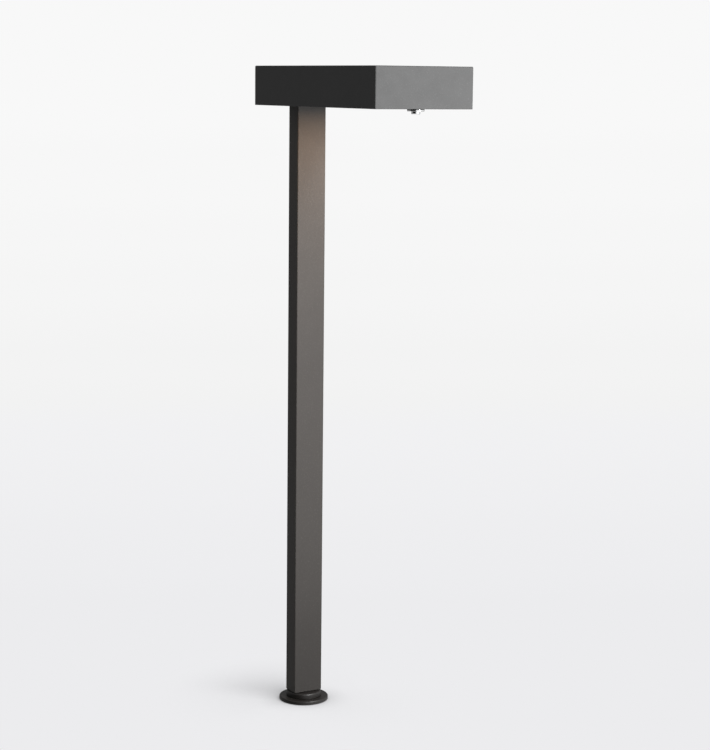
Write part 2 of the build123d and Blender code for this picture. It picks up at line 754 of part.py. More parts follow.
# drawn standing on its neck
with BuildPart() as lamp_bulb:
    with BuildSketch(Plane.XZ):
        with BuildLine():
            Polyline((BULB_NECK_R, 2.0), (BULB_NECK_R, 0), (4.6, 0))
            ThreePointArc((4.6, 0), (6.7, 3.0), (BULB_R, 7.0))
            Line((BULB_R, 7.0), (BULB_R, DOME_Z))
            CenterArc((0, DOME_Z), BULB_R, 0, 90)
            Line((0, DOME_Z + BULB_R), (0, DOME_Z + BULB_IN_R))
            CenterArc((0, DOME_Z), BULB_IN_R, 0, 90)
            Line((BULB_IN_R, DOME_Z), (BULB_IN_R, 7.6))
            ThreePointArc((BULB_IN_R, 7.6), (5.9, 4.4), (BULB_NECK_R, 2.0))
        make_face()
    revolve(axis=Axis.Z)
# laid along -Y in front of the socket
export(lamp_bulb.part.moved(Location((0, ENV_YB, LAMP_Z), (90, 0, 0))), "lamp_bulb")

with BuildPart() as lamp_base:
    with BuildSketch(at_y(ENV_YB)):
        with Locations((0, LAMP_Z)):
            Circle(BULB_NECK_R - 0.03)
    extrude(amount=1.8)
    with BuildSketch(at_y(WEDGE_YB)):
        with Locations((0, LAMP_Z)):
            RectangleRounded(9.6, 2.7, 0.9)
    extrude(amount=WEDGE_YB - ENV_YB)
export(lamp_base.part, "lamp_base")

FILAMENT_L = 4.8

with BuildPart() as lamp_filament:
    for s in SIDES:
        with BuildSketch(at_y(ENV_YB - 2.1)):
            with Locations((s * 2.2, LAMP_Z)):
                Circle(0.3)
        extrude(amount=13.0)
    with BuildSketch(at_x(-FILAMENT_L / 2)):
        with Locations((ENV_YB - 14.9, LAMP_Z)):
            Circle(0.45)
    extrude(amount=FILAMENT_L)
export(lamp_filament.part, "lamp_filament")

# ---------------------------------------------------------------------------
# Wiring: partition grommet, socket leads, twist-on connectors, supply leads
# ---------------------------------------------------------------------------
GROMMET_RIM_R = 5.5
GROMMET_RIM_T = 1.2

with BuildPart() as wire_grommet:
    # rear rim, sleeve through the partition, front rim
    for y, radius, length in (
        (PART_YB + GROMMET_RIM_T, GROMMET_RIM_R, GROMMET_RIM_T),
        (PART_YB, 3.97, PART_YB - PART_YF),
        (PART_YF, GROMMET_RIM_R, GROMMET_RIM_T),
    ):
        with BuildSketch(at_y(y)):
            with Locations((0, GROMMET_Z)):
                Circle(radius)
        extrude(amount=length)
    with BuildSketch(at_y(PART_YB + 2)):
        with Locations((0, GROMMET_Z)):
            Circle(2.6)
    extrude(amount=8, mode=Mode.SUBTRACT)
export(wire_grommet.part, "wire_grommet")

# from the contacts through the grommet, then over and down into the connectors
SOCKET_LEAD_TOP_Z = 551.6
socket_routes = [
    (
        (s * 0.6, -35.3, LAMP_Z + s * CONTACT_DZ),
        (s * 0.6, -34.0, LAMP_Z + s * CONTACT_DZ),
        (s * 1.4, -29.4, GROMMET_Z),
        (s * 1.4, -21.2, GROMMET_Z),
        (s * 10.0, -19.6, SOCKET_LEAD_TOP_Z),
        (s * 20.6, -17.0, SOCKET_LEAD_TOP_Z),
        (s * (CONN_X - CONN_WIRE_X), CONN_Y, SOCKET_LEAD_TOP_Z),
        (s * (CONN_X - CONN_WIRE_X), CONN_Y, CONN_WIRE_Z0),
    )
    for s in SIDES
]
export(wires(socket_routes, 1.4), "socket_leads")

# connector: cap closed below and open above; points are (radius, z)
CONNECTOR_PROFILE = [
    (0, 530.5), (3.4, 530.5), (4.0, 531.2), (4.9, 547.0),
    (3.9, 547.0), (3.2, 534.0), (0, 534.0),
]

with BuildPart() as wire_connector:
    with BuildSketch(Plane.XZ):
        with BuildLine():
            Polyline(*CONNECTOR_PROFILE, close=True)
        make_face()
    revolve(axis=Axis.Z)
connectors = Compound(
    children=[
        wire_connector.part.moved(Location((x, CONN_Y, 0))) for x in (CONN_X, -CONN_X)
    ]
)
export(connectors, "wire_connectors")

# up the post, then out to both sides and down into the connectors
SUPPLY_TOP_Z = 553.2
supply_routes = [
    (
        (s * SUPPLY_X, 0, -STUB_L + 0.3),
        (s * SUPPLY_X, 0, SUPPLY_TOP_Z),
        (s * 20.0, 0, SUPPLY_TOP_Z),
        (s * (CONN_X + CONN_WIRE_X), CONN_Y, SUPPLY_TOP_Z),
        (s * (CONN_X + CONN_WIRE_X), CONN_Y, CONN_WIRE_Z0),
    )
    for s in SIDES
]
export(wires(supply_routes, 2.4), "supply_leads")

# ---------------------------------------------------------------------------
# Post: extruded rectangular tube
# ---------------------------------------------------------------------------
with BuildPart() as post:
    with BuildSketch(at_z(POST_Z0)):
        RectangleRounded(POST_X, POST_Y, POST_R)
        RectangleRounded(
            POST_X - 2 * POST_WALL, POST_Y - 2 * POST_WALL, 0.3, mode=Mode.SUBTRACT
        )
    extrude(amount=POST_Z1 - POST_Z0)
    # bolt holes at the top, front wall
    with BuildSketch(at_y(-POST_Y / 2)):
        with Locations(*mirrored(BOLT_X, BOLT_Z)):
            Circle(BOLT_HOLE_R)
    extrude(amount=-POST_WALL - 0.5, mode=Mode.SUBTRACT)
    # countersunk holes low on the rear wall
    with Locations(*base_screw_spots(POST_REAR_Y)):
        Cylinder(CSK_CLEAR_R, POST_WALL + 0.5, align=LO, mode=Mode.SUBTRACT)
        Cone(3.0, 1.6, 1.4, align=LO, mode=Mode.SUBTRACT)
export(post.part, "post")

# ---------------------------------------------------------------------------
# Post top plug: tapped block inside the tube, its bolts and the wire grommet
# ---------------------------------------------------------------------------
with BuildPart() as post_top_plug:
    with BuildSketch(at_z(PLUG_Z0)):
        Rectangle(PLUG_X, PLUG_Y)
    extrude(amount=POST_Z1 - PLUG_Z0)
    chamfer(post_top_plug.edges().filter_by(Axis.Z), 0.4)
    with Locations((0, 0, PLUG_Z0)):
        Cylinder(3.6, POST_Z1 - PLUG_Z0, align=LO, mode=Mode.SUBTRACT)
    with BuildSketch(at_y(-PLUG_Y / 2)):
        with Locations(*mirrored(BOLT_X, BOLT_Z)):
            Circle(2.0)
    extrude(amount=-8.5, mode=Mode.SUBTRACT)
export(post_top_plug.part, "post_top_plug")

BOLT_HEAD_H = 3.8

with BuildPart() as post_bolts:
    with BuildSketch(at_y(COLLAR_YF)):
        with Locations(*mirrored(BOLT_X, BOLT_Z)):
            Circle(3.5)
    extrude(amount=BOLT_HEAD_H)
    chamfer(
        post_bolts.edges().filter_by(GeomType.CIRCLE).group_by(Axis.Y)[0], 0.3
    )
    with BuildSketch(at_y(COLLAR_YF)):
        with Locations(*mirrored(BOLT_X, BOLT_Z)):
            Circle(1.95)
    extrude(amount=-13.5)
    # hexagon socket
    with BuildSketch(at_y(COLLAR_YF - BOLT_HEAD_H)):
        with Locations(*mirrored(BOLT_X, BOLT_Z)):
            RegularPolygon(1.73, 6)
    extrude(amount=-2.2, mode=Mode.SUBTRACT)
export(post_bolts.part, "post_bolts")

POST_SLEEVE_L = 4.0

with BuildPart() as post_grommet:
    with Locations((0, 0, POST_Z1)):
        Cylinder(4.8, 1.0, align=LO)
        Cylinder(3.57, POST_SLEEVE_L, align=HI)
    with Locations((0, 0, POST_Z1 - POST_SLEEVE_L)):
        Cylinder(2.6, 6.0, align=LO, mode=Mode.SUBTRACT)
export(post_grommet.part, "post_grommet")

# ---------------------------------------------------------------------------
# Base hub: turned bush with a rectangular spigot up into the post and a
# threaded stub below; the lead bore runs right through
# ---------------------------------------------------------------------------
with BuildPart() as base_hub:
    with BuildSketch(Plane.XZ):
        with BuildLine():
            Polyline(
                (0, -STUB_L),
                (STUB_R - 0.9, -STUB_L),
                (STUB_R, -STUB_L + 0.9),
                (STUB_R, 0),
                (NECK_R, 0),
                (NECK_R, FLANGE_T),
                (HUB_R - 0.5, FLANGE_T),
                (HUB_R - 0.5, FLANGE_T + 0.5),
                (HUB_R, FLANGE_T + 0.5),
                (HUB_R, HUB_Z1 - 1.5),
            )
            ThreePointArc(
                (HUB_R, HUB_Z1 - 1.5),
                (HUB_R - 0.45, HUB_Z1 - 0.45),
                (HUB_R - 1.5, HUB_Z1),
            )
            Polyline((HUB_R - 1.5, HUB_Z1), (0, HUB_Z1), (0, -STUB_L))
        make_face()
    revolve(axis=Axis.Z)
    # shoulder under the post, then the spigot
    with BuildSketch(at_z(HUB_Z1)):
        Rectangle(PLUG_X + 1.6, PLUG_Y + 1.6)
    extrude(amount=POST_Z0 - HUB_Z1)
    with BuildSketch(at_z(POST_Z0)):
        Rectangle(PLUG_X, PLUG_Y)
    extrude(amount=SPIGOT_Z1 - POST_Z0)
    chamfer(
        base_hub.edges().filter_by(Axis.Z).filter_by_position(
            Axis.Z, POST_Z0 + 2, SPIGOT_Z1 - 2
        ),
        0.4,
    )
    chamfer(base_hub.faces().sort_by(Axis.Z)[-1].edges(), 0.6)
    with Locations((0, 0, -STUB_L)):
        Cylinder(LEAD_BORE_R, STUB_L + SPIGOT_Z1, align=LO, mode=Mode.SUBTRACT)
        Cylinder(MOUTH_R, 8.0, align=LO, mode=Mode.SUBTRACT)
    with Locations(*base_screw_spots(PLUG_Y / 2)):
        Cylinder(TAPPED_R, 4.0, align=LO, mode=Mode.SUBTRACT)
export(base_hub.part, "base_hub")

# ---------------------------------------------------------------------------
# Base flange: thin round plate slipped over the hub's neck
# ---------------------------------------------------------------------------
FLANGE_BORE_R = NECK_R + 0.03

with BuildPart() as base_flange:
    with BuildSketch(Plane.XZ):
        with BuildLine():
            Polyline(
                (FLANGE_BORE_R, 0),
                (FLANGE_R - 0.4, 0),
                (FLANGE_R, 0.4),
                (FLANGE_R, FLANGE_T - 1.1),
            )
            ThreePointArc(
                (FLANGE_R, FLANGE_T - 1.1),
                (FLANGE_R - 0.32, FLANGE_T - 0.32),
                (FLANGE_R - 1.1, FLANGE_T),
            )
            Polyline(
                (FLANGE_R - 1.1, FLANGE_T), (FLANGE_BORE_R, FLANGE_T), (FLANGE_BORE_R, 0)
            )
        make_face()
    revolve(axis=Axis.Z)
export(base_flange.part, "base_flange")

# ---------------------------------------------------------------------------
# Two countersunk screws through the post's rear wall into the spigot
# ---------------------------------------------------------------------------
with BuildPart() as base_screws:
    with Locations(*base_screw_spots(POST_REAR_Y - 0.05)):
        Cone(2.9, SHANK_R, 1.4, align=LO)
        Cylinder(SHANK_R, 4.6, align=LO)
    with BuildSketch(at_y(POST_REAR_Y)):
        with Locations(*[(0, z) for z in BASE_SCREW_ZS]):
            RegularPolygon(SMALL_HEX_R, 6)
    extrude(amount=1.0, mode=Mode.SUBTRACT)
export(base_screws.part, "base_screws")

# ---------------------------------------------------------------------------
# Strain relief bush in the stub's mouth
# ---------------------------------------------------------------------------
with BuildPart() as strain_relief:
    with Locations((0, 0, -STUB_L + 0.6)):
        Cylinder(MOUTH_R - 0.04, 7.2, align=LO)
    with Locations(*mirrored(SUPPLY_X, 0, -STUB_L)):
        Cylinder(LEAD_R + 0.1, 10, align=LO, mode=Mode.SUBTRACT)
export(strain_relief.part, "strain_relief")
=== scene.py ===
# Post light: a threaded hub below the ground (z = 0), a post rising along +Z and a head at the
# top that reaches forward, towards -Y, with its lamp shining down. Metres throughout.
import json
import math

import bmesh
import bpy
from mathutils import Matrix, Vector


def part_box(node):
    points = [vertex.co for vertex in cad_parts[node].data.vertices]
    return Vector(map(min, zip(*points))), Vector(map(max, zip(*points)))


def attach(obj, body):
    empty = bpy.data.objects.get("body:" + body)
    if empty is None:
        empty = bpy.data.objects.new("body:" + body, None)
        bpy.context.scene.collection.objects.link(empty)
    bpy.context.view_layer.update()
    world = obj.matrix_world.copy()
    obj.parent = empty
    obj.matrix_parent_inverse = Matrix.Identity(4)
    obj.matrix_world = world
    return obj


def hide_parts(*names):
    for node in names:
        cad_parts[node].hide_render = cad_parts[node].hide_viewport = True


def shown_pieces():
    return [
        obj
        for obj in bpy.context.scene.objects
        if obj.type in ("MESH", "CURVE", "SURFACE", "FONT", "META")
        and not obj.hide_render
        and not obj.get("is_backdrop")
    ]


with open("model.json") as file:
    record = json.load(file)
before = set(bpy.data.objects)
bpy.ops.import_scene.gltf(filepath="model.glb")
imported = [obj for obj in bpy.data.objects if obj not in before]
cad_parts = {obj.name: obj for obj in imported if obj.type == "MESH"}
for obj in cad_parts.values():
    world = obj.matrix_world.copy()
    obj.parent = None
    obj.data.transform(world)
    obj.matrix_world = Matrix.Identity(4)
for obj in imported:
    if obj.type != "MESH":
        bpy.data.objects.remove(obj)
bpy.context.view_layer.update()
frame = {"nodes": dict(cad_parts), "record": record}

NODES = frame["nodes"]

scene = bpy.context.scene
scene.view_settings.view_transform = "Standard"
scene.view_settings.look = "None"
scene.view_settings.exposure = 0.0
scene.view_settings.gamma = 1.0
scene.cycles.use_denoising = True
scene.cycles.max_bounces = 10
scene.cycles.transmission_bounces = 8
scene.cycles.sample_clamp_indirect = 4.0

# The vertical axis of the lens screw (x, y) and the height where its washer meets the head
SCREW_AXIS = (0.0, -0.1777)
WASHER_JOINT_Z = 0.52524

# Camera pose; the surroundings are laid out from its heading
CAMERA_PLACE = (-0.800114, -1.488443, 0.547589)
CAMERA_HEADING = math.radians(-29.719)
CAMERA_DOWN_TILT = math.radians(8.573)
CAMERA_ROLL = math.radians(0.606)
TO_CAMERA = (math.sin(CAMERA_HEADING), -math.cos(CAMERA_HEADING), 0.0)
TO_LEFT = (-math.cos(CAMERA_HEADING), -math.sin(CAMERA_HEADING), 0.0)


def linear(*srgb):
    """sRGB 0-255 to linear."""
    levels = [level / 255.0 for level in srgb]
    return [v / 12.92 if v <= 0.04045 else ((v + 0.055) / 1.055) ** 2.4 for v in levels]


def scaled(color, gain, lift=0.0):
    return [min(1, channel * gain + lift) for channel in color]


# ---------------------------------------------------------------------------
# Node graph helper
# ---------------------------------------------------------------------------
class Graph:
    """The node tree of a material or world, emptied and built up call by call."""

    def __init__(self, owner):
        owner.use_nodes = True
        self.owner = owner
        self.tree = owner.node_tree
        self.tree.nodes.clear()

    def add(self, kind, inputs=None, **props):
        node = self.tree.nodes.new(kind)
        for key, value in props.items():
            setattr(node, key, value)
        for key, value in (inputs or {}).items():
            self.put(node.inputs[key], value)
        return node

    def put(self, socket, value):
        if isinstance(value, bpy.types.NodeSocket):
            self.tree.links.new(value, socket)
            return
        if socket.type == "RGBA" and len(value) == 3:
            value = (*value, 1.0)
        socket.default_value = value

    def finish(self, surface, kind="ShaderNodeOutputMaterial"):
        self.add(kind, {0: surface})
        return self.owner

    # --- numbers and vectors ---
    def math(self, operation, first, second=0.0):
        return self.add("ShaderNodeMath", {0: first, 1: second}, operation=operation).outputs[0]

    def plus(self, base, field, gain):
        """base + field * gain"""
        return self.math("ADD", base, self.math("MULTIPLY", field, gain))

    def vec(self, operation, first, second=(0, 0, 0)):
        node = self.add("ShaderNodeVectorMath", {0: first, 1: second}, operation=operation)
        return node.outputs["Value" if operation in ("DOT_PRODUCT", "LENGTH") else 0]

    def axis(self, vector, index):
        return self.add("ShaderNodeSeparateXYZ", {"Vector": vector}).outputs[index]

    def remap(self, value, low, high, to_low=0.0, to_high=1.0, curve="SMOOTHSTEP"):
        inputs = dict(enumerate((value, low, high, to_low, to_high)))
        return self.add("ShaderNodeMapRange", inputs, interpolation_type=curve).outputs[0]

    # --- colours and shaders ---
    def mix(self, factor, first, second, mode="MIX"):
        return self.add("ShaderNodeMix", {0: factor, 6: first, 7: second},
                        data_type="RGBA", blend_type=mode).outputs[2]

    def cover(self, under, over, mask, strength):
        """Lay one colour over another where the mask is high."""
        return self.mix(self.math("MULTIPLY", mask, strength), under, over)

    def ramp(self, value, stops):
        node = self.add("ShaderNodeValToRGB", {0: value})
        elements = node.color_ramp.elements
        while len(elements) > 1:
            elements.remove(elements[-1])
        elements[0].position = stops[0][0]
        elements[0].color = (*stops[0][1], 1.0)
        for position, color in stops[1:]:
            elements.new(position).color = (*color, 1.0)
        return node.outputs[0]

    def mix_shader(self, factor, first, second):
        return self.add("ShaderNodeMixShader", {0: factor, 1: first, 2: second}).outputs[0]

    def emission(self, color):
        return self.add("ShaderNodeEmission", {"Color": color, "Strength": 1.0}).outputs[0]

    def background(self, color):
        return self.add("ShaderNodeBackground", {"Color": color, "Strength": 1.0}).outputs[0]

    # --- textures and relief ---
    def coords(self, kind="Object"):
        return self.add("ShaderNodeTexCoord").outputs[kind]

    def noise(self, place, scale, detail=2.0, rough=0.5):
        return self.add("ShaderNodeTexNoise", {"Vector": place, "Scale": scale, "Detail": detail,
                                               "Roughness": rough}).outputs["Fac"]

    def cells(self, place, scale, smoothness, randomness=1.0):
        inputs = {"Vector": place, "Scale": scale, "Smoothness": smoothness,
                  "Randomness": randomness}
        # the feature is set first, as it decides which inputs are in use
        return self.add("ShaderNodeTexVoronoi", inputs, feature="SMOOTH_F1").outputs["Distance"]

    def bump(self, height, distance, normal=None):
        inputs = {"Height": height, "Distance": distance, "Strength": 1.0}
        if normal is not None:
            inputs["Normal"] = normal
        return self.add("ShaderNodeBump", inputs).outputs[0]

    def round_edges(self, radius):
        return self.add("ShaderNodeBevel", {"Radius": radius}, samples=4).outputs[0]

    def edge_mask(self, radius):
        """About 1 on outer and inner edges, 0 on flats."""
        rounded = self.round_edges(radius)
        flat = self.add("ShaderNodeNewGeometry").outputs["Normal"]
        bend = self.math("SUBTRACT", 1.0, self.vec("DOT_PRODUCT", rounded, flat))
        return self.remap(bend, low=0.02, high=0.25)


def material_graph(name):
    return Graph(bpy.data.materials.new(name))


# ---------------------------------------------------------------------------
# Finishes
# ---------------------------------------------------------------------------
def powder_coat(name, color, rough, spec, peel=1.0, painted_shade=None, top=None):
    """Satin powder coat: orange peel, a fine grain, faint flakes, slightly polished and thinned
    edges. top is the lower gloss of upward faces, peel scales the relief."""
    tree = material_graph(name)
    place = tree.coords()
    peel_relief = tree.noise(place, scale=620, rough=0.45)
    grain = tree.noise(place, scale=3600, rough=0.6)
    blotch = tree.noise(place, scale=22, detail=3.0, rough=0.55)

    flakes = tree.add("ShaderNodeTexVoronoi", {"Vector": place, "Scale": 2600.0})
    flake_tone = tree.add("ShaderNodeSeparateColor", {"Color": flakes.outputs["Color"]}).outputs[0]
    speck = tree.remap(flake_tone, low=0.93, high=1.0)
    base = tree.mix(tree.remap(blotch, low=0.3, high=0.7, curve="LINEAR"),
                    scaled(color, gain=0.965), scaled(color, gain=1.035))
    base = tree.cover(base, scaled(color, gain=2.2, lift=0.01), speck, strength=0.35)
    # painted shade laid over the colour, where one is given
    if painted_shade is not None:
        base = painted_shade(tree, place, base)
    edge = tree.edge_mask(radius=0.0007)
    patches = tree.remap(tree.noise(place, scale=130, detail=4.0, rough=0.65), low=0.45, high=0.62)
    worn = tree.math("MULTIPLY", edge, patches)
    base = tree.cover(base, scaled(color, gain=2.6, lift=0.02), worn, strength=0.35)

    roughness = tree.plus(rough - 0.04, tree.noise(place, scale=90, detail=3.0), gain=0.08)
    roughness = tree.plus(roughness, grain, gain=0.04)
    roughness = tree.math("SUBTRACT", roughness, tree.math("MULTIPLY", edge, 0.08))

    normal = tree.bump(peel_relief, distance=0.00006 * peel)
    normal = tree.bump(grain, distance=0.000012 * peel, normal=normal)
    shader = tree.add("ShaderNodeBsdfPrincipled", {
        "Base Color": base, "Roughness": roughness, "Specular IOR Level": spec, "Normal": normal})
    if top is not None:
        upward = tree.axis(tree.coords("Normal"), 2)
        gloss = tree.remap(upward, low=0.5, high=0.95, to_low=spec, to_high=top)
        tree.put(shader.inputs["Specular IOR Level"], gloss)
    return tree.finish(shader.outputs[0])


def foot_shade(z_low, z_high, kept):
    """Painted shade: darkens the front face towards the ground; kept is the brightness left there.
    """
    def painted_shade(tree, place, base):
        low_down = tree.remap(tree.axis(place, 2), z_low, z_high, to_low=1.0, to_high=0.0)
        facing = tree.axis(tree.coords("Normal"), 1)
        front = tree.remap(facing, low=-0.9, high=-0.3, to_low=1.0, to_high=0.0)
        shade_mask = tree.math("MULTIPLY", low_down, front)
        return tree.cover(base, (0.0, 0.0, 0.0), shade_mask, strength=1.0 - kept)
    return painted_shade


def turning_marks(tree, place, centre, grain, normal):
    """Fine concentric grooves round a vertical axis."""
    groove_pitch = 0.00032
    offset = tree.vec("SUBTRACT", place, (*centre, 0))
    parts = tree.add("ShaderNodeSeparateXYZ", {"Vector": offset}).outputs
    squares = [tree.math("POWER", parts[i], 2.0) for i in range(2)]
    radius = tree.math("SQRT", tree.math("ADD", *squares))
    waves = tree.math("SINE", tree.math("MULTIPLY", radius, 2 * math.pi / groove_pitch))
    return tree.bump(tree.plus(waves, grain, gain=2.0), distance=2.2e-7, normal=normal)


def metal(name, color, rough, grain, depth, lay=None, edge=0.00025, tarnish=None, rings=None,
          joint=None):
    """Bare or plated metal. lay stretches the grain into a brushed lay, rings is the centre (x, y)
    of turning marks. joint is a height: above it the colour is painted near black, a painted shade
    where the washer meets the head; a band of plain metal below it, then grey, a painted dimmer
    reflection along the lower lip."""
    tree = material_graph(name)
    along = tree.coords()
    if lay is not None:
        along = tree.vec("MULTIPLY", along, lay)
    place = tree.coords()
    relief = tree.noise(along, grain, detail=4.0, rough=0.6)
    cloud = tree.noise(place, scale=160, detail=3.0)
    base = tree.mix(cloud, scaled(color, gain=0.93), scaled(color, gain=1.05))
    if tarnish is not None:
        blots = tree.noise(place, scale=420, detail=5.0, rough=0.7)
        base = tree.cover(base, tarnish, tree.remap(blots, low=0.58, high=0.75), strength=0.45)
    if joint is not None:
        # painted shade in the gap above the joint, and a painted dimmer reflection on the lower lip
        height = tree.axis(place, 2)
        above = tree.remap(height, low=joint - 0.00006, high=joint + 0.00006)
        base = tree.mix(above, base, (0.03, 0.03, 0.03))
        band = tree.remap(height, low=joint - 0.00095, high=joint - 0.00075)
        base = tree.mix(band, (0.42, 0.42, 0.42), base)
    normal = tree.bump(relief, depth, tree.round_edges(edge))
    if rings is not None:
        normal = turning_marks(tree, place, rings, relief, normal)
    shader = tree.add("ShaderNodeBsdfPrincipled", {
        "Base Color": base,
        "Metallic": 1.0,
        "Roughness": tree.plus(rough * 0.8, tree.math("ADD", relief, cloud), gain=rough * 0.22),
        "Normal": normal})
    return tree.finish(shader.outputs[0])


def soft(name, color, rough, dust, grain=1400, depth=1.2e-5, sub=0.0, sheen=0.0):
    """Rubber, silicone, plastic and ceramic: moulded skin with a fine grain and a little dust."""
    tree = material_graph(name)
    place = tree.coords()
    relief = tree.noise(place, grain, detail=4.0, rough=0.6)
    cloud = tree.noise(place, scale=60, detail=4.0, rough=0.6)
    base = tree.mix(cloud, scaled(color, gain=0.88), scaled(color, gain=1.1))
    dusty = tree.remap(relief, low=0.55, high=0.8)
    base = tree.cover(base, (0.42, 0.41, 0.38), dusty, strength=dust)
    shader = tree.add("ShaderNodeBsdfPrincipled", {
        "Base Color": base,
        "Roughness": tree.plus(rough - 0.07, relief, gain=0.14),
        "Specular IOR Level": 0.45,
        "Subsurface Weight": sub,
        "Sheen Weight": sheen,
        "Normal": tree.bump(relief, depth, tree.round_edges(0.00025))})
    if sub:
        shader.inputs["Subsurface Scale"].default_value = 0.002
    return tree.finish(shader.outputs[0])


def glass(name, color, rough, fine, see, pebble=None, ior=1.5):
    """Glass that lets shadow rays through, so that what is behind it stays lit. pebble and fine are
    (scale, depth) of the relief, see is the share of light that shadow rays keep."""
    tree = material_graph(name)
    place = tree.coords()
    dirt = tree.remap(tree.noise(place, scale=240, detail=5.0, rough=0.65), low=0.5, high=0.8)
    normal = None
    if pebble is not None:
        scale, depth = pebble
        normal = tree.bump(tree.cells(place, scale, smoothness=0.8), depth)
    scale, depth = fine
    normal = tree.bump(tree.noise(place, scale, detail=3.0, rough=0.6), depth, normal)
    shader = tree.add("ShaderNodeBsdfPrincipled", {
        "Base Color": tree.mix(tree.noise(place, scale=40), scaled(color, gain=0.985), color),
        "Transmission Weight": 1.0,
        "IOR": ior,
        "Roughness": tree.plus(rough, dirt, gain=0.05),
        "Normal": normal})
    clear = tree.add("ShaderNodeBsdfTransparent", {"Color": scaled(color, see)})
    shadow_ray = tree.add("ShaderNodeLightPath").outputs["Is Shadow Ray"]
    return tree.finish(tree.mix_shader(shadow_ray, shader.outputs[0], clear.outputs[0]))


def peened_reflector(name):
    """Bright peened aluminium sheet."""
    tree = material_graph(name)
    place = tree.coords()
    dimples = tree.cells(place, scale=270.0, smoothness=0.6, randomness=0.55)
    haze = tree.noise(place, scale=900, detail=4.0, rough=0.6)
    normal = tree.bump(dimples, distance=0.00055, normal=tree.round_edges(0.0003))
    shader = tree.add("ShaderNodeBsdfPrincipled", {
        "Base Color": tree.mix(haze, (0.80, 0.80, 0.81), (0.90, 0.90, 0.90)),
        "Metallic": 1.0,
        "Roughness": tree.plus(0.16, haze, gain=0.12),
        "Normal": tree.bump(haze, distance=4e-6, normal=normal)})
    return tree.finish(shader.outputs[0])


CHROME_LOOK = dict(color=(0.86, 0.865, 0.87), rough=0.075, grain=900, depth=6e-7, edge=0.00018,
                   rings=SCREW_AXIS)

# Finishes by material slot; "washer" and "tungsten" are used for single pieces
FINISH = {
    "head_finish": powder_coat("powder_head", (0.0424, 0.0426, 0.0427), rough=0.70, spec=0.42,
                               top=0.03),
    # the post's front face carries painted shade, darker towards the ground
    "post_finish": powder_coat("powder_post", (0.0612, 0.0570, 0.0540), rough=0.50, spec=0.14,
                               painted_shade=foot_shade(z_low=0.012, z_high=0.15, kept=0.76)),
    "base_finish": powder_coat("powder_base", (0.0098, 0.0083, 0.0075), rough=0.45, spec=0.42,
                               peel=0.8),
    "chrome": metal("chrome_plate", **CHROME_LOOK),
    # the washer's chrome carries painted shade where it meets the head and a painted dimmer
    # reflection on its lower lip
    "washer": metal("chrome_washer", **CHROME_LOOK, joint=WASHER_JOINT_Z),
    "steel": metal("stainless", (0.56, 0.555, 0.54), rough=0.30, lay=(1, 6, 1), grain=1200,
                   depth=3e-6, tarnish=(0.33, 0.30, 0.26)),
    "cast_inner": metal("machined_aluminium", (0.66, 0.665, 0.67), rough=0.36, lay=(1, 1, 5),
                        grain=900, depth=6e-6),
    "brass": metal("turned_brass", (0.70, 0.50, 0.22), rough=0.27, lay=(1, 1, 4), grain=1300,
                   depth=3e-6, tarnish=(0.30, 0.19, 0.09)),
    "tungsten": metal("tungsten", (0.33, 0.32, 0.31), rough=0.4, grain=6000, depth=2e-6,
                      edge=0.00003),
    "reflector_alu": peened_reflector("peened_reflector"),
    "rubber": soft("epdm_rubber", (0.020, 0.020, 0.021), rough=0.62, sheen=0.1, dust=0.10),
    "silicone": soft("silicone_seal", (0.17, 0.17, 0.165), rough=0.5, sub=0.1, dust=0.05),
    "socket_body": soft("steatite_ceramic", (0.66, 0.64, 0.58), rough=0.5, grain=2200,
                        depth=1.6e-5, sub=0.08, dust=0.0),
    "wire_jacket": soft("wire_jacket_pvc", (0.016, 0.016, 0.017), rough=0.40, grain=1800,
                        depth=8e-6, dust=0.04),
    "connector": soft("connector_nylon", (0.33, 0.075, 0.020), rough=0.42, grain=1500,
                      depth=1.0e-5, sub=0.12, dust=0.03),
    "lens_glass": glass("frosted_lens", (0.93, 0.945, 0.93), rough=0.30, pebble=(520.0, 0.00025),
                        fine=(2600, 0.00004), see=0.75),
    "lamp_glass": glass("lamp_glass", (0.97, 0.975, 0.97), rough=0.015, fine=(320, 0.00001),
                        ior=1.48, see=0.95),
}
SLOT_OF = {part["node"]: part["material_slot"] for part in frame["record"]["subparts"]}
for name, piece in NODES.items():
    finish = "washer" if name == "screw_washer" else SLOT_OF[name]
    piece.data.materials.clear()
    piece.data.materials.append(FINISH[finish])


# ---------------------------------------------------------------------------
# Finer pieces that stand for some CAD nodes
# ---------------------------------------------------------------------------
def link_object(name, data):
    made = bpy.data.objects.new(name, data)
    scene.collection.objects.link(made)
    return made


def new_piece(name, verts, faces, finish, body, node, sharp_angle=32):
    mesh = bpy.data.meshes.new(name)
    mesh.from_pydata([tuple(v) for v in verts], [], faces)
    mesh.validate()
    mesh.update()
    for polygon in mesh.polygons:
        polygon.use_smooth = True
    mesh.set_sharp_from_angle(angle=math.radians(sharp_angle))
    mesh.materials.append(FINISH[finish])
    piece = link_object(name, mesh)
    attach(piece, body)
    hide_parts(node)


def tube_faces(rings, sides):
    """Quads between successive rings of verts."""
    return [(i * sides + k, i * sides + (k + 1) % sides,
             (i + 1) * sides + (k + 1) % sides, (i + 1) * sides + k)
            for i in range(rings - 1) for k in range(sides)]


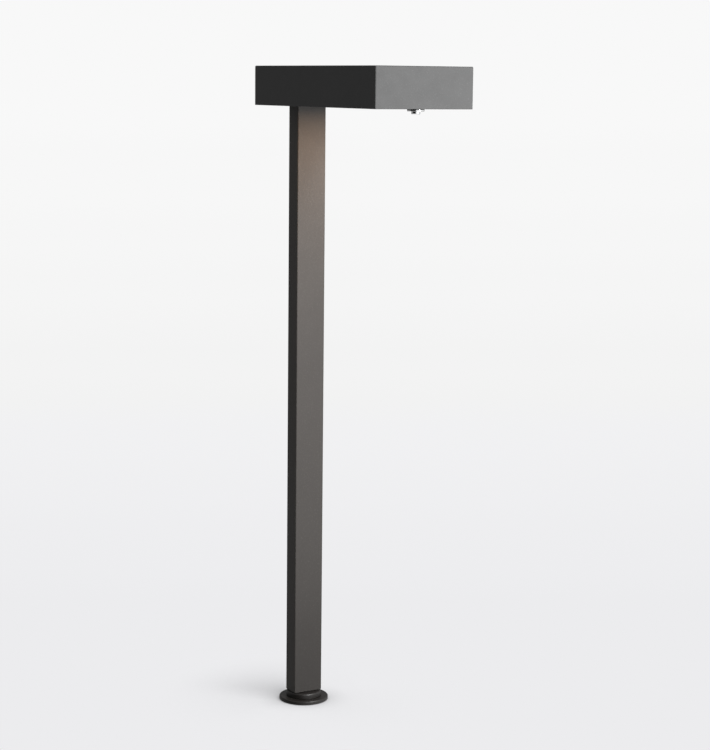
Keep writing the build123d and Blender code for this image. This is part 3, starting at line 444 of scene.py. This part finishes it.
def helix_cutter(centre, major, minor, pitch, z0, z1, half):
    """A V groove of half width half swept along a helix, as a closed mesh. major and minor are
    the crest and root radii."""
    steps_per_turn = 40
    fade_steps = 14
    steps = int((z1 - z0) / pitch * steps_per_turn)
    outer = major + (major - minor) * 0.35
    verts = []
    for i in range(steps + 1):
        turns = i / steps_per_turn
        angle = 2 * math.pi * turns
        z = z0 + turns * pitch
        fade = min(1.0, i / fade_steps, (steps - i) / fade_steps)
        root = minor + (1 - fade) * (major - minor) * 0.95
        profile = ((outer, -half * 1.35), (root, -half * 0.12), (root, half * 0.12),
                   (outer, half * 1.35))
        for radius, rise in profile:
            verts.append((centre[0] + radius * math.cos(angle),
                          centre[1] + radius * math.sin(angle), z + rise))
    # quads run from one profile to the next, wound along the helix first
    faces = [(a, d, c, b) for a, b, c, d in tube_faces(steps + 1, 4)]
    last = 4 * steps
    faces.append((0, 1, 2, 3))
    faces.append((last + 3, last + 2, last + 1, last))
    mesh = bpy.data.meshes.new("cutter")
    mesh.from_pydata(verts, [], faces)
    work = bmesh.new()
    work.from_mesh(mesh)
    bmesh.ops.recalc_face_normals(work, faces=work.faces)
    work.to_mesh(mesh)
    work.free()
    return link_object("cutter", mesh)


def threaded(node, finish, body, **thread):
    """The CAD node with its thread cut into it."""
    name = node + "_threaded"
    work = bmesh.new()
    work.from_mesh(NODES[node].data)
    bmesh.ops.remove_doubles(work, verts=work.verts, dist=1e-6)
    mesh = bpy.data.meshes.new(name + "_src")
    work.to_mesh(mesh)
    work.free()
    for key in list(mesh.attributes.keys()):
        if key in ("custom_normal", "sharp_face", "sharp_edge"):
            mesh.attributes.remove(mesh.attributes[key])
    source = link_object(name + "_src", mesh)
    cutter = helix_cutter(**thread)
    cut = source.modifiers.new("thread", "BOOLEAN")
    cut.operation = "DIFFERENCE"
    cut.solver = "EXACT"
    cut.object = cutter
    bpy.context.view_layer.update()
    evaluated = source.evaluated_get(bpy.context.evaluated_depsgraph_get())
    result = evaluated.to_mesh()
    verts = [tuple(v.co) for v in result.vertices]
    faces = [tuple(p.vertices) for p in result.polygons]
    evaluated.to_mesh_clear()
    bpy.data.objects.remove(source)
    bpy.data.objects.remove(cutter)
    new_piece(name, verts, faces, finish, body, node)


def sweep(points, radius, sides):
    """Capped tube along a list of points: (verts, faces)."""
    points = [Vector(p) for p in points]
    verts = []
    across = (points[1] - points[0]).normalized().orthogonal().normalized()
    for i, point in enumerate(points):
        before = points[max(i - 1, 0)]
        after = points[min(i + 1, len(points) - 1)]
        along = (after - before).normalized()
        across = (across - along * across.dot(along)).normalized()
        side = along.cross(across)
        for k in range(sides):
            angle = 2 * math.pi * k / sides
            verts.append(point + (across * math.cos(angle) + side * math.sin(angle)) * radius)
    faces = tube_faces(len(points), sides)
    faces.append(tuple(reversed(range(sides))))
    last = (len(points) - 1) * sides
    faces.append(tuple(range(last, last + sides)))
    return verts, faces


def join(*meshes):
    verts, faces = [], []
    for more_verts, more_faces in meshes:
        start = len(verts)
        verts += more_verts
        faces += [tuple(i + start for i in face) for face in more_faces]
    return verts, faces


def filament():
    """Two legs from the back of the lamp, with a coil between their bent front ends."""
    coil_turns, steps_per_turn = 13, 18
    coil_radius = 0.00033
    low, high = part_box("lamp_filament")
    z = (low.z + high.z) / 2
    leg_x = high.x - 0.00035
    coil_y = low.y + 0.00045
    coil_end = leg_x - 0.0005
    legs = [sweep([(side * leg_x, high.y, z),
                   (side * leg_x, coil_y + 0.0035, z),
                   (side * (leg_x - 0.00005), coil_y + 0.0012, z),
                   (side * (leg_x - 0.0003), coil_y, z),
                   (side * (leg_x - 0.0006), coil_y, z)], radius=0.00022, sides=10)
            for side in (-1, 1)]
    coil = []
    steps = coil_turns * steps_per_turn
    for i in range(steps + 1):
        share = i / steps
        angle = 2 * math.pi * coil_turns * share
        coil.append((-coil_end + share * 2 * coil_end,
                     coil_y + coil_radius * math.cos(angle),
                     z + coil_radius * math.sin(angle)))
    verts, faces = join(*legs, sweep(coil, radius=0.00007, sides=6))
    new_piece("filament_coil", verts, faces, "tungsten", "lamp", "lamp_filament",
              sharp_angle=60)


threaded("base_hub", "base_finish", "fixture", centre=(0.0, 0.0), major=0.01035, minor=0.00945,
         pitch=0.001814, z0=-0.0128, z1=-0.0012, half=0.00058)
low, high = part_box("lens_screw")
threaded("lens_screw", "chrome", "captive_screw",
         centre=((low.x + high.x) / 2, (low.y + high.y) / 2), major=0.00197, minor=0.00160,
         pitch=0.0007, z0=high.z - 0.0036, z1=high.z - 0.0006, half=0.00022)
filament()

# small hard edges catch a line of light
for name in ("rear_cover_plate", "lens_clips", "lamp_bracket", "lamp_socket", "lens",
             "post_top_plug", "wire_connectors"):
    bevel = NODES[name].modifiers.new("edge", "BEVEL")
    bevel.width = 0.00018
    bevel.segments = 2
    bevel.limit_method = "ANGLE"
    bevel.angle_limit = math.radians(50)
    bevel.use_clamp_overlap = True

# ---------------------------------------------------------------------------
# Surroundings
# ---------------------------------------------------------------------------
# Backdrop: (height as a share of the view, red and green, blue), colours in sRGB 0-255
BACKDROP = [
    (0.0, 236, 238), (0.2, 236, 238), (0.23333, 237, 239), (0.26667, 237.5, 239.4),
    (0.3, 238, 239.8), (0.33333, 239, 240.8), (0.36667, 239.6, 241.2), (0.4, 240.5, 242),
    (0.43333, 241, 242.4), (0.46667, 242, 242), (0.5, 243, 243), (0.53333, 243, 243),
    (0.56667, 244, 244), (0.6, 245, 245), (0.63333, 245, 245), (0.66667, 246, 246),
    (0.7, 246, 246), (0.73333, 247, 247), (0.8, 247, 247), (0.83333, 248, 248), (1.0, 248, 248),
]
BACKDROP_STOPS = [(height, linear(tone, tone, blue)) for height, tone, blue in BACKDROP]
FLOOR_TONE = BACKDROP_STOPS[0][1]

# Brightness round the horizon: (degrees from the camera's side towards its left, grey)
GLOSSY_RING = [(-180, 0.25), (-150, 0.35), (-125, 0.85), (-60, 1.0), (-8, 1.0), (2, 0.015),
               (70, 0.01), (80, 0.20), (120, 0.30), (150, 0.30), (180, 0.25)]
DIFFUSE_RING = [(-180, 0.10), (-120, 0.06), (50, 0.05), (66, 0.60), (145, 0.66), (165, 0.12),
                (180, 0.10)]


def backdrop(tree):
    """The gradient up the view, the same for the floor and for what lies beyond it."""
    return tree.ramp(tree.axis(tree.coords("Window"), 1), BACKDROP_STOPS)


def bearing(tree, direction, flip=False):
    """Compass bearing of a direction, or of its opposite, 0.5 towards the camera."""
    parts = [tree.vec("DOT_PRODUCT", direction, way) for way in (TO_CAMERA, TO_LEFT)]
    if flip:
        parts = [tree.math("MULTIPLY", part, -1.0) for part in parts]
    near, left = parts
    turn = tree.math("DIVIDE", tree.math("ARCTAN2", left, near), 2 * math.pi)
    return tree.math("ADD", turn, 0.5)


def ring_light(tree, turn, ring):
    return tree.ramp(turn, [(degrees / 360.0 + 0.5, (grey,) * 3) for degrees, grey in ring])


def build_world():
    """The camera sees the backdrop; other rays see a ring of light and dark under a grey top."""
    world = bpy.data.worlds.new("studio")
    scene.world = world
    tree = Graph(world)
    direction = tree.coords("Generated")
    turn = bearing(tree, direction)
    path = tree.add("ShaderNodeLightPath").outputs
    ring = tree.mix(path["Is Glossy Ray"], ring_light(tree, turn, DIFFUSE_RING),
                    ring_light(tree, turn, GLOSSY_RING))
    upward = tree.remap(tree.axis(direction, 2), low=0.25, high=0.95)
    sky = tree.mix(upward, ring, (0.55, 0.55, 0.55))
    surface = tree.mix_shader(path["Is Camera Ray"], tree.background(sky),
                              tree.background(backdrop(tree)))
    tree.finish(surface, "ShaderNodeOutputWorld")


def floor_material():
    tree = material_graph("floor")
    geometry = tree.add("ShaderNodeNewGeometry").outputs

    # seen by the camera: the backdrop, part matte near the base so that it takes shadows; the
    # matte's colour is darkened by ambient occlusion, a painted contact shadow round the base
    from_axis = tree.vec("LENGTH", tree.vec("MULTIPLY", geometry["Position"], (1, 1, 0)))
    matte_share = tree.remap(from_axis, low=0.045, high=0.14, to_low=0.72, to_high=0.0)
    # painted contact shadow: ambient occlusion darkens the floor tone next to the base
    contact_occlusion = tree.add("ShaderNodeAmbientOcclusion", {"Distance": 0.030}, samples=16)
    tone_with_painted_shadow = tree.mix(contact_occlusion.outputs["AO"], (0.0, 0.0, 0.0), FLOOR_TONE)
    matte = tree.add("ShaderNodeBsdfDiffuse", {"Color": tone_with_painted_shadow}).outputs[0]
    seen = tree.mix_shader(matte_share, tree.emission(backdrop(tree)), matte)

    # for other rays it glows like the surroundings the ray is heading for
    incoming = geometry["Incoming"]
    turn = bearing(tree, incoming, flip=True)
    steep = tree.remap(tree.axis(incoming, 2), low=0.35, high=0.80)
    mirrored = tree.mix(steep, ring_light(tree, turn, GLOSSY_RING), (0.84, 0.84, 0.84))
    spread = tree.mix(1.0, ring_light(tree, turn, DIFFUSE_RING), (0.45, 0.45, 0.45),
                      mode="MULTIPLY")
    path = tree.add("ShaderNodeLightPath").outputs
    bounce = tree.emission(tree.mix(path["Is Glossy Ray"], spread, mirrored))
    above = tree.mix_shader(path["Is Camera Ray"], bounce, seen)

    # clear from below
    clear = tree.add("ShaderNodeBsdfTransparent").outputs[0]
    return tree.finish(tree.mix_shader(geometry["Backfacing"], above, clear))


def build_floor():
    mesh = bpy.data.meshes.new("floor")
    mesh.from_pydata([(-6, -6, 0), (6, -6, 0), (6, 6, 0), (-6, 6, 0)], [], [(0, 1, 2, 3)])
    floor = link_object("floor", mesh)
    floor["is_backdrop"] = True
    mesh.materials.append(floor_material())
    return floor


build_world()
floor = build_floor()


# ---------------------------------------------------------------------------
# Lights
# ---------------------------------------------------------------------------
def receivers(name, members):
    group = bpy.data.collections.new(name)
    for member in members:
        group.objects.link(member)
    return group


only_floor = receivers("only_floor", [floor])
only_object = receivers("only_object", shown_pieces())


def place_light(data, place, look, group):
    light = bpy.data.objects.new(data.name, data)
    light.location = place
    light.rotation_mode = "QUATERNION"
    light.rotation_quaternion = (Vector(look) - light.location).to_track_quat("-Z", "Y")
    scene.collection.objects.link(light)
    light.light_linking.receiver_collection = group
    light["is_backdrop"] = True
    return light


def floor_sun(name, place, energy, angle):
    data = bpy.data.lights.new(name, "SUN")
    data.energy = energy
    data.angle = math.radians(angle)
    place_light(data, place, (0, 0, 0), only_floor)


def object_area(name, place, look, size, size_y, watts, spread, color=(1, 1, 1)):
    data = bpy.data.lights.new(name, "AREA")
    data.shape = "RECTANGLE"
    data.size = size
    data.size_y = size_y
    data.energy = watts
    data.color = color
    data.spread = math.radians(spread)
    light = place_light(data, place, look, only_object)
    light.visible_camera = False
    return light


elevation = math.radians(48)
floor_sun("shadow_sun", energy=1.98, angle=50,
          place=(0.20 * math.cos(elevation), -0.98 * math.cos(elevation), math.sin(elevation)))
floor_sun("halo_sun", energy=0.62, angle=75, place=(0.62, -0.45, 0.70))
object_area("key", place=(0.25, -0.85, 0.635), look=(0.0, -0.05, 0.33), size=0.10, size_y=0.52,
            watts=10.35, spread=140)
lamp_glow = object_area("lamp_glow", place=(0.0, -0.069, 0.5275), look=(0.0, -0.069, 0.0),
                        size=0.05, size_y=0.02, watts=0.190, spread=170, color=(1.0, 0.60, 0.30))
lamp_glow.visible_glossy = False


# ---------------------------------------------------------------------------
# Camera
# ---------------------------------------------------------------------------
def build_camera():
    data = bpy.data.cameras.new("camera")
    data.lens = 93.91
    data.sensor_width = 36.0
    data.clip_start = 0.05
    data.clip_end = 60.0
    camera = link_object("camera", data)
    scene.camera = camera
    heading, tilt, roll = CAMERA_HEADING, CAMERA_DOWN_TILT, CAMERA_ROLL
    forward = Vector((-math.sin(heading) * math.cos(tilt), math.cos(heading) * math.cos(tilt),
                      -math.sin(tilt)))
    right = Vector((math.cos(heading), math.sin(heading), 0.0))
    up = right.cross(forward)
    rolled_right = right * math.cos(roll) + up * math.sin(roll)
    rolled_up = up * math.cos(roll) - right * math.sin(roll)
    turned = Matrix((rolled_right, rolled_up, -forward)).transposed()
    camera.matrix_world = Matrix.Translation(CAMERA_PLACE) @ turned.to_4x4()


build_camera()
